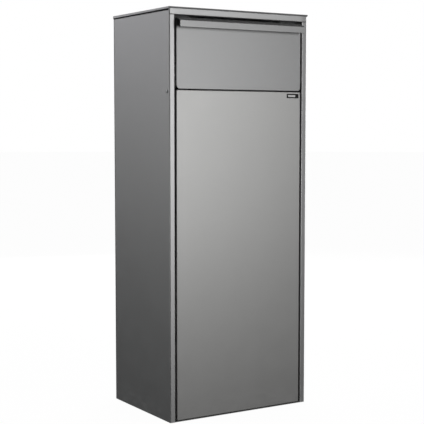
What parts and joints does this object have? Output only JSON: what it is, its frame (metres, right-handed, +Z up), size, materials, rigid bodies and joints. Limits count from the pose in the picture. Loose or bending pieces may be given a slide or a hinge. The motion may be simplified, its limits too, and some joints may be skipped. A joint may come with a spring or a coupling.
{
  "type": "parcel drop box",
  "caption": "Tall folded-steel parcel drop box with a bottom-hinged tilting hopper and pull lip above an inset side-hinged door with a hidden cam lock.",
  "frame": {"origin": "on the floor, at the centre of the cabinet's footprint (the panels without the pull lip and the roof's overhang)", "axes": "+Z up; +Y to the rear, out of the back panel; +X to the right for a person facing the door"},
  "size_m": [0.4272, 0.3227, 1.05],
  "materials": {
    "painted_steel": "satin metallic grey powder coat",
    "hopper_paint": "fine-textured metallic grey powder coat",
    "inner_paint": "satin grey powder coat, inside",
    "zinc_steel": "zinc plated",
    "rubber": "matt black",
    "nylon": "black nylon",
    "badge": "dark plate with no lettering",
    "lock_chrome": "bright plated"
  },
  "bodies": {
    "cabinet": {"left_side_panel": "painted_steel", "right_side_panel": "painted_steel", "back_panel": "inner_paint", "base_pan": "inner_paint", "front_sill": "inner_paint", "compartment_mat": "rubber", "roof_pan": "painted_steel", "header_rail": "painted_steel", "catch_plate": "inner_paint", "left_console": "inner_paint", "right_console": "inner_paint", "hinge_bracket": "zinc_steel", "bracket_rivets": "zinc_steel", "door_pin_top": "zinc_steel", "door_pin_bottom": "zinc_steel", "pivot_blocks": "nylon", "pivot_pins": "zinc_steel", "pivot_block_screws": "zinc_steel", "hopper_rest_bumpers": "rubber", "door_stops": "inner_paint", "door_stop_pads": "rubber", "lock_body": "lock_chrome", "lock_nut": "zinc_steel"},
    "hopper": {"hopper_front": "hopper_paint", "pull_handle": "hopper_paint", "hopper_floor": "inner_paint", "left_cheek": "inner_paint", "right_cheek": "inner_paint", "left_ear": "zinc_steel", "right_ear": "zinc_steel", "ear_bushes": "nylon", "ear_rivets": "zinc_steel", "hopper_stop_buffers": "rubber"},
    "door": {"door_skin": "painted_steel", "door_stiffeners": "inner_paint", "door_bush_top": "nylon", "door_bush_bottom": "nylon", "lock_keeper": "zinc_steel", "badge_plate": "badge"},
    "lock": {"lock_plug": "lock_chrome", "lock_cam": "zinc_steel", "cam_screw": "zinc_steel"}
  },
  "joints": [
    {"name": "hopper_tilt", "type": "hinge", "parent": "cabinet", "child": "hopper", "pos_m": [0, -0.146, 0.8533], "axis": [1, 0, 0], "range_deg": [0, 42]},
    {"name": "door_swing", "type": "hinge", "parent": "cabinet", "child": "door", "pos_m": [-0.1694, -0.14, 0.42], "axis": [0, 0, -1], "range_deg": [0, 110]},
    {"name": "lock_turn", "type": "hinge", "parent": "cabinet", "child": "lock", "pos_m": [0.176, -0.127, 0.8715], "axis": [0, -1, 0], "range_deg": [0, 90]}
  ]
}
